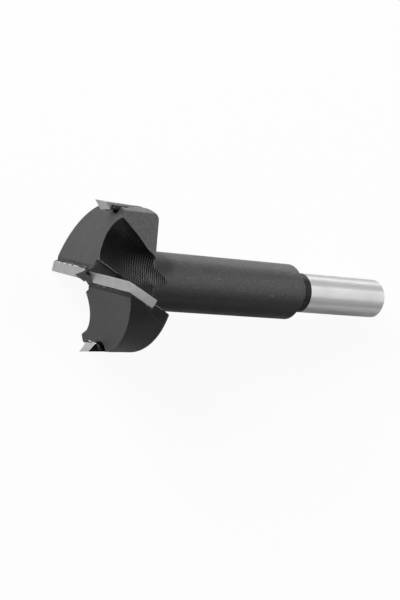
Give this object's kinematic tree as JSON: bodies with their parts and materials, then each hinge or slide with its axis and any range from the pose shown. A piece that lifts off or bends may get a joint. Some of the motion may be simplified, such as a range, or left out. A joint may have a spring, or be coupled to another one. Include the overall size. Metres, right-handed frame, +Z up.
{
  "type": "carbide drill bit",
  "caption": "Carbide-tipped bit for boring flat-bottomed hinge cups in board, with brazed cutters and spurs, a centre point, chip gullets and a plain round shank.",
  "frame": {"origin": "on the table, below the middle of the bit's bounding box as it lies at rest", "axes": "+Z up; +X along the bit from the centre point toward the shank end; the bit lies on one cutter's outer corner, the heel of the other wing and the lower edge of the shank's end, so its axis slopes down toward the shank by about 6.5 degrees"},
  "size_m": [0.0914, 0.0344, 0.0298],
  "materials": {
    "black_steel": "black oxide, satin, with a ground shank",
    "carbide": "ground tungsten carbide",
    "braze": "silver braze, uneven"
  },
  "bodies": {
    "root": {"body": "black_steel", "cutter_tip_1": "carbide", "cutter_tip_2": "carbide", "spur_tip_1": "carbide", "spur_tip_2": "carbide", "cutter_braze_1": "braze", "cutter_braze_2": "braze", "spur_braze_1": "braze", "spur_braze_2": "braze"}
  },
  "joints": []
}
